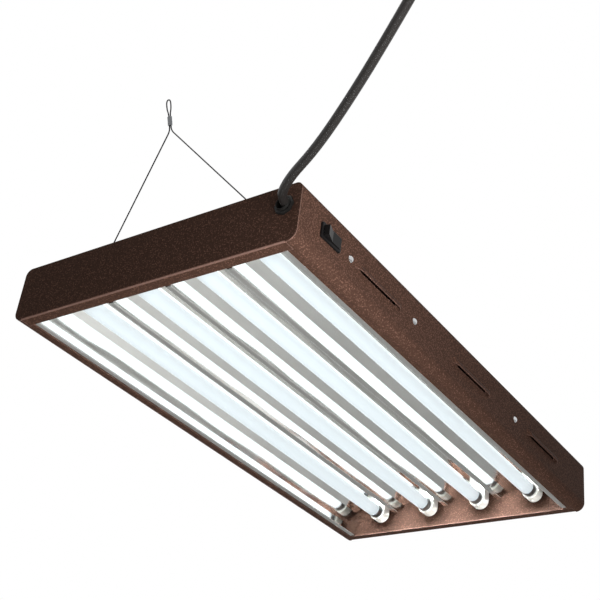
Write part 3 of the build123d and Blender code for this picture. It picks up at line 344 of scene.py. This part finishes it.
# Rocker switch and strain relief.
# Black nylon, moulded. The switch snaps into the long side and is polished, and the strain relief,
# which a nut holds in the near end plate, is matt.
SWITCH_BLACK = "#0F0E0E"
RELIEF_BLACK = "#100F0E"
wear(grained_surface("black_polished_nylon", SWITCH_BLACK, roughness=0.3, gloss=0.06),
     "switch_frame", "switch_rocker")
wear(grained_surface("black_matt_nylon", RELIEF_BLACK, roughness=0.5, gloss=0.12),
     "gland_body", "gland_nut")

# Leads inside the housing.
# Stranded copper in a thin coat of dark vinyl, extruded round it and left with a low sheen. They
# join the cord, the switch, the ballasts and the lampholders.
LEAD_VINYL = "#2A2A2C"
wear(grained_surface("extruded_vinyl", LEAD_VINYL, roughness=0.45), "mains_leads", "lamp_leads")

# Power cord with its tied coil and plug.
# Round black vinyl flex of 8 mm. It leaves the strain relief, rises to the right, and its spare
# length is coiled and tied, with the moulded plug lying on the coil.
FLEX_BLACK = "#171514"
PLUG_BLACK = "#1C1C1E"
STRAP_BLACK = "#232325"
CORD_D = 8.0 * MM
# Heights are from the lower rim, which hangs this far below the hooks that hold the fixture.
HOOK_LINE = 196.92 * MM
GLAND = Vector((145.6 * MM, -295.0 * MM, 37.5 * MM - HOOK_LINE))
# Steps from the strain relief's place in the end plate, in millimetres.
CORD_ROUTE = (
    (0.0, 16.0, 0.0),
    (0.0, -8.0, 0.0),
    (19.4, -25.0, 2.5),
    (59.4, -43.5, 7.3),
    (108.4, -69.0, 25.5),
    (154.4, -94.5, 47.0),
    (197.4, -120.0, 66.5),
    (222.4, -133.0, 78.5),
)
COIL_RADIUS = 58.5 * MM
COIL_PITCH = 8.6 * MM
COIL_HALF_TURNS = 5
COIL_EXIT_CLIMB = 18.0 * MM
POINTS_PER_HALF_TURN = 8


def cord_route():
    """Points of the free stretch, then of the coil: inwards, up a layer, outwards and off it."""
    points = [GLAND + Vector(step) * MM for step in CORD_ROUTE]
    along = (points[-1] - points[-2]).normalized()
    side = along.cross(Vector((0, 0, 1))).normalized()
    up = side.cross(along)
    innermost = COIL_RADIUS - COIL_HALF_TURNS * COIL_PITCH / 2
    turns = [(COIL_RADIUS - i * COIL_PITCH / 2, 0.0) for i in range(COIL_HALF_TURNS)]
    turns.append((innermost, COIL_PITCH))
    turns += [(innermost + i * COIL_PITCH / 2, 0.0) for i in range(1, COIL_HALF_TURNS - 1)]
    turns.append((innermost + (COIL_HALF_TURNS - 1) * COIL_PITCH / 2, COIL_EXIT_CLIMB))
    here = points[-1] + along * CORD_D
    points.append(here)
    way = 1
    for radius, climb in turns:
        there = here + up * (2 * radius * way) + side * climb
        middle = (here + there) / 2
        outward = along * (way * (there - here).length / 2)
        for i in range(1, POINTS_PER_HALF_TURN + 1):
            angle = math.pi * i / POINTS_PER_HALF_TURN
            points.append(middle + (here - middle) * math.cos(angle) + outward * math.sin(angle))
        here = there
        way = -way
    points.append(here + along * CORD_D)
    return points


def smooth_tube(name, points, diameter, material):
    """A round tube on one smooth open spline."""
    curve = bpy.data.curves.new(name, "CURVE")
    curve.dimensions = "3D"
    curve.bevel_depth = diameter / 2
    curve.bevel_resolution = 5
    curve.use_fill_caps = True
    spline = curve.splines.new("NURBS")
    spline.points.add(len(points) - 1)
    for target, point in zip(spline.points, points):
        target.co = (*point, 1.0)
    spline.order_u = 3
    spline.use_endpoint_u = True
    spline.resolution_u = 6
    curve.materials.append(material)
    piece = bpy.data.objects.new(name, curve)
    bpy.context.collection.objects.link(piece)
    return piece


flex = grained_surface("black_vinyl_flex", FLEX_BLACK, roughness=0.42, grain=2.0 * MM,
                       depth=0.012 * MM, gloss=0.35)
cord = smooth_tube("cord_flex", cord_route(), CORD_D, flex)
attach(cord, "fixture")
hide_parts("power_cord", "cord_coil")
wear(grained_surface("black_vinyl_moulding", PLUG_BLACK, roughness=0.45), "plug_body")
# The strap's weave is about half a millimetre wide, and drawn twice as coarse, so that it shows.
wear(grained_surface("woven_nylon_strap", STRAP_BLACK, roughness=0.75, grain=1.0 * MM,
                     depth=0.2 * MM), "cord_tie")

# Hangers.
# Each is one length of stranded steel wire: an eye round a roof bridge at each foot, crimped in a
# sleeve, two straight legs, and a narrow loop above a crimped ferrule. The hook pulls it taut.
WIRE_STEEL = "#333435"
CRIMP_ALUMINIUM = "#77797B"
WIRE_D = 1.3 * MM
WIRE_ROUGHNESS = 0.4
# A diagonal wave of this scale repeats about every 5 mm along the wire, as its strands are laid.
LAY_SCALE = 0.16 / WIRE_D
LAY_DEPTH = 0.2 * MM
LAY_STRENGTH = 0.6
HINGE = Vector((0.0, 261.5 * MM, 62.5 * MM - HOOK_LINE))
LEAN = math.radians(20.7)
# Sizes in the hanger's own plane, upwards from its hinge. The legs lean as the CAD tubes do, whose
# bend lies BEND_DROP under the ferrule, and the wires part at SPLIT_DROP, as in the photograph.
FOOT = 98.8 * MM
STRAND = 0.9 * MM
FERRULE_FOOT = 118.0 * MM
FERRULE_LENGTH = 9.0 * MM
BEND_DROP = 10.5 * MM
SPLIT_DROP = 5.0 * MM
LOOP_TOP = 144.35 * MM
LOOP_HALF = 2.5 * MM
LOOP_NECK = 3.0 * MM
LOOP_SHOULDER = 8.0 * MM
EYE_ABOVE = 7.0 * MM
EYE_SHOULDER = 1.5 * MM
EYE_HALF = 3.2 * MM
EYE_BELOW = 2.48 * MM
TAIL = 11.0 * MM
# Points this far from a bend keep the runs beside it straight.
STEADY = 8.0 * MM


def hanger_route(end):
    """Points from a hanger's left foot to its right, with end -1 for the near one, 1 for the far."""
    rise = Vector((0, end * math.sin(LEAN), math.cos(LEAN)))
    out = Vector((0, end * math.cos(LEAN), -math.sin(LEAN)))
    origin = Vector((0, end * HINGE.y, HINGE.z))
    leg = math.atan2(FOOT - STRAND, FERRULE_FOOT - BEND_DROP)
    down = Vector((math.sin(leg), 0, 0)) - rise * math.cos(leg)
    foot = Vector((FOOT, 0, 0))
    strand = Vector((STRAND, 0, 0))
    loop_side = Vector((LOOP_HALF, 0, 0))
    top = FERRULE_FOOT + FERRULE_LENGTH
    bend = strand + rise * (FERRULE_FOOT - SPLIT_DROP)
    slope = (foot + down * (-EYE_ABOVE - STEADY) - out * STRAND - bend).normalized()
    half = [loop_side + rise * LOOP_TOP,
            loop_side + rise * (top + LOOP_SHOULDER),
            strand + rise * (top + LOOP_NECK),
            bend + rise * STEADY,
            bend,
            bend + slope * STEADY]
    eye = [(-EYE_ABOVE - STEADY, -STRAND),
           (-EYE_ABOVE, -STRAND),
           (-EYE_SHOULDER, -EYE_HALF),
           (EYE_BELOW, -EYE_HALF),
           (EYE_BELOW, EYE_HALF),
           (-EYE_SHOULDER, EYE_HALF),
           (-EYE_ABOVE, STRAND),
           (-EYE_ABOVE - TAIL, STRAND)]
    half += [foot + down * q + out * p for q, p in eye]
    other = [Vector((-p.x, p.y, p.z)) for p in half]
    return [origin + p for p in list(reversed(other)) + half]


def stranded_wire():
    """Dark steel, ribbed across by its twisted strands."""
    material, tree, shader = new_material("stranded_steel_wire")
    place = add(tree, "ShaderNodeTexCoord").outputs["Object"]
    lay = add(tree, "ShaderNodeTexWave", {"Vector": place, "Scale": LAY_SCALE, "Distortion": 0.5},
              bands_direction="DIAGONAL")
    bump = add(tree, "ShaderNodeBump", {"Height": lay.outputs["Fac"], "Strength": LAY_STRENGTH,
                                        "Distance": LAY_DEPTH})
    tree.links.new(bump.outputs["Normal"], shader.inputs["Normal"])
    shader.inputs["Base Color"].default_value = linear(WIRE_STEEL)
    shader.inputs["Metallic"].default_value = 1.0
    shader.inputs["Roughness"].default_value = WIRE_ROUGHNESS
    return material


wire_steel = stranded_wire()
crimp_metal = clouded_metal("crimped_aluminium", CRIMP_ALUMINIUM, bright=0.35, dull=0.5)
for name, end in (("near", -1), ("far", 1)):
    route = hanger_route(end)
    wire = smooth_tube(f"hanger_{name}_wire", route, WIRE_D, wire_steel)
    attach(wire, f"hanger_{name}")
    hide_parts(f"hanger_{name}_cable")
    wear(crimp_metal, f"hanger_{name}_ferrule", f"hanger_{name}_sleeves")

# Stage: a pale painted floor well below the hanging fixture, white surroundings and soft lamps.
# The floor is lifted to a pale tone for the camera alone, so it sends no more light to the fixture.
FLOOR_TONES = ("#E2E2E0", "#E9E9E7")
FLOOR_DROP = 2.2
FLOOR_SIZE = 14.0
FLOOR_LIFT = 0.6
FLOOR_ROUGHNESS = 0.8
MOTTLES_PER_METRE = 3.0


def pale_floor():
    """One square of matt paint with a faint mottle."""
    mesh = bpy.data.meshes.new("floor")
    half = FLOOR_SIZE / 2
    mesh.from_pydata([(-half, -half, -FLOOR_DROP), (half, -half, -FLOOR_DROP),
                      (half, half, -FLOOR_DROP), (-half, half, -FLOOR_DROP)], [], [(0, 1, 2, 3)])
    material, tree, shader = new_material("pale_floor_paint")
    place = add(tree, "ShaderNodeTexCoord").outputs["Object"]
    tone = add(tree, "ShaderNodeTexNoise", {"Vector": place, "Scale": MOTTLES_PER_METRE})
    colour = add(tree, "ShaderNodeMix", {0: tone.outputs["Fac"], 6: linear(FLOOR_TONES[0]),
                                         7: linear(FLOOR_TONES[1])}, data_type="RGBA")
    tree.links.new(colour.outputs[2], shader.inputs["Base Color"])
    shader.inputs["Roughness"].default_value = FLOOR_ROUGHNESS
    ray = add(tree, "ShaderNodeLightPath")
    lift = add(tree, "ShaderNodeMapRange", {"Value": ray.outputs["Is Camera Ray"],
                                            "To Max": FLOOR_LIFT})
    tree.links.new(colour.outputs[2], shader.inputs["Emission Color"])
    tree.links.new(lift.outputs["Result"], shader.inputs["Emission Strength"])
    material.cycles.emission_sampling = "NONE"
    mesh.materials.append(material)
    floor = bpy.data.objects.new("floor", mesh)
    bpy.context.collection.objects.link(floor)
    return floor


pale_floor()

HOUSING_MIDDLE = (0.0, 0.0, -0.17)
# Name, place and target in metres, width in metres, power in watts, and whether metal mirrors it.
SOFT_LAMPS = (
    ("side_lamp", (0.47, -0.36, -0.37), (0.16, -0.29, -0.16), 0.3, 4.2, False),
    ("top_lamp", (-0.4, -0.3, 1.6), HOUSING_MIDDLE, 1.4, 20, True),
    ("back_lamp", (-0.9, 0.95, 0.25), HOUSING_MIDDLE, 0.8, 14, True),
    ("floor_lamp", (0.0, 0.0, -0.55), (0.0, 0.0, -FLOOR_DROP), 3.0, 30, True),
    ("low_lamp", (0.3, -0.35, -1.05), (0.05, 0.15, -0.17), 0.6, 8, False),
)
for name, place, target, width, power, mirrored in SOFT_LAMPS:
    light = bpy.data.lights.new(name, "AREA")
    light.shape = "DISK"
    light.size = width
    light.energy = power
    lamp = bpy.data.objects.new(name, light)
    lamp.location = place
    lamp.rotation_euler = (Vector(target) - Vector(place)).to_track_quat("-Z", "Y").to_euler()
    lamp.visible_glossy = mirrored
    bpy.context.collection.objects.link(lamp)

# The surroundings are white where they are seen, mirrored or looked through, and dim as a light.
WHITE = (1, 1, 1, 1)
SEEN_LEVEL = 1.0
LIGHT_LEVEL = 0.24
world = bpy.data.worlds.new("white_surroundings")
bpy.context.scene.world = world
world.use_nodes = True
sky = world.node_tree
sky.nodes.clear()
path = add(sky, "ShaderNodeLightPath")
seen = add(sky, "ShaderNodeMath", {0: path.outputs["Is Camera Ray"],
                                   1: path.outputs["Is Glossy Ray"]}, operation="MAXIMUM")
seen = add(sky, "ShaderNodeMath", {0: seen.outputs["Value"],
                                   1: path.outputs["Is Transmission Ray"]}, operation="MAXIMUM")
level = add(sky, "ShaderNodeMapRange", {"Value": seen.outputs["Value"], "To Min": LIGHT_LEVEL,
                                        "To Max": SEEN_LEVEL})
glow = add(sky, "ShaderNodeBackground", {"Color": WHITE, "Strength": level.outputs["Result"]})
add(sky, "ShaderNodeOutputWorld", {"Surface": glow.outputs["Background"]})

# Camera at the photograph's place: below the fixture, to the right of its near end.
# Its place, its turn and its focal length were solved from the housing's corners.
CAMERA_PLACE = Vector((635.46 * MM, -888.72 * MM, -523.80 * MM - HOOK_LINE))
CAMERA_RIGHT = Vector((0.82456315, 0.55490237, 0.11035835))
CAMERA_DOWN = Vector((-0.21651086, 0.48969635, -0.84458305))
FOCAL_PIXELS = 1158.545
IMAGE_PIXELS = 600
SENSOR_WIDTH = 36.0

camera = bpy.data.objects.new("camera", bpy.data.cameras.new("camera"))
bpy.context.collection.objects.link(camera)
camera.data.sensor_width = SENSOR_WIDTH
camera.data.lens = SENSOR_WIDTH * FOCAL_PIXELS / IMAGE_PIXELS
forward = CAMERA_RIGHT.cross(CAMERA_DOWN)
turn = Matrix((CAMERA_RIGHT, -CAMERA_DOWN, -forward)).transposed()
camera.matrix_world = Matrix.Translation(CAMERA_PLACE) @ turn.to_4x4()
bpy.context.scene.camera = camera
bpy.context.scene.view_settings.view_transform = "Standard"
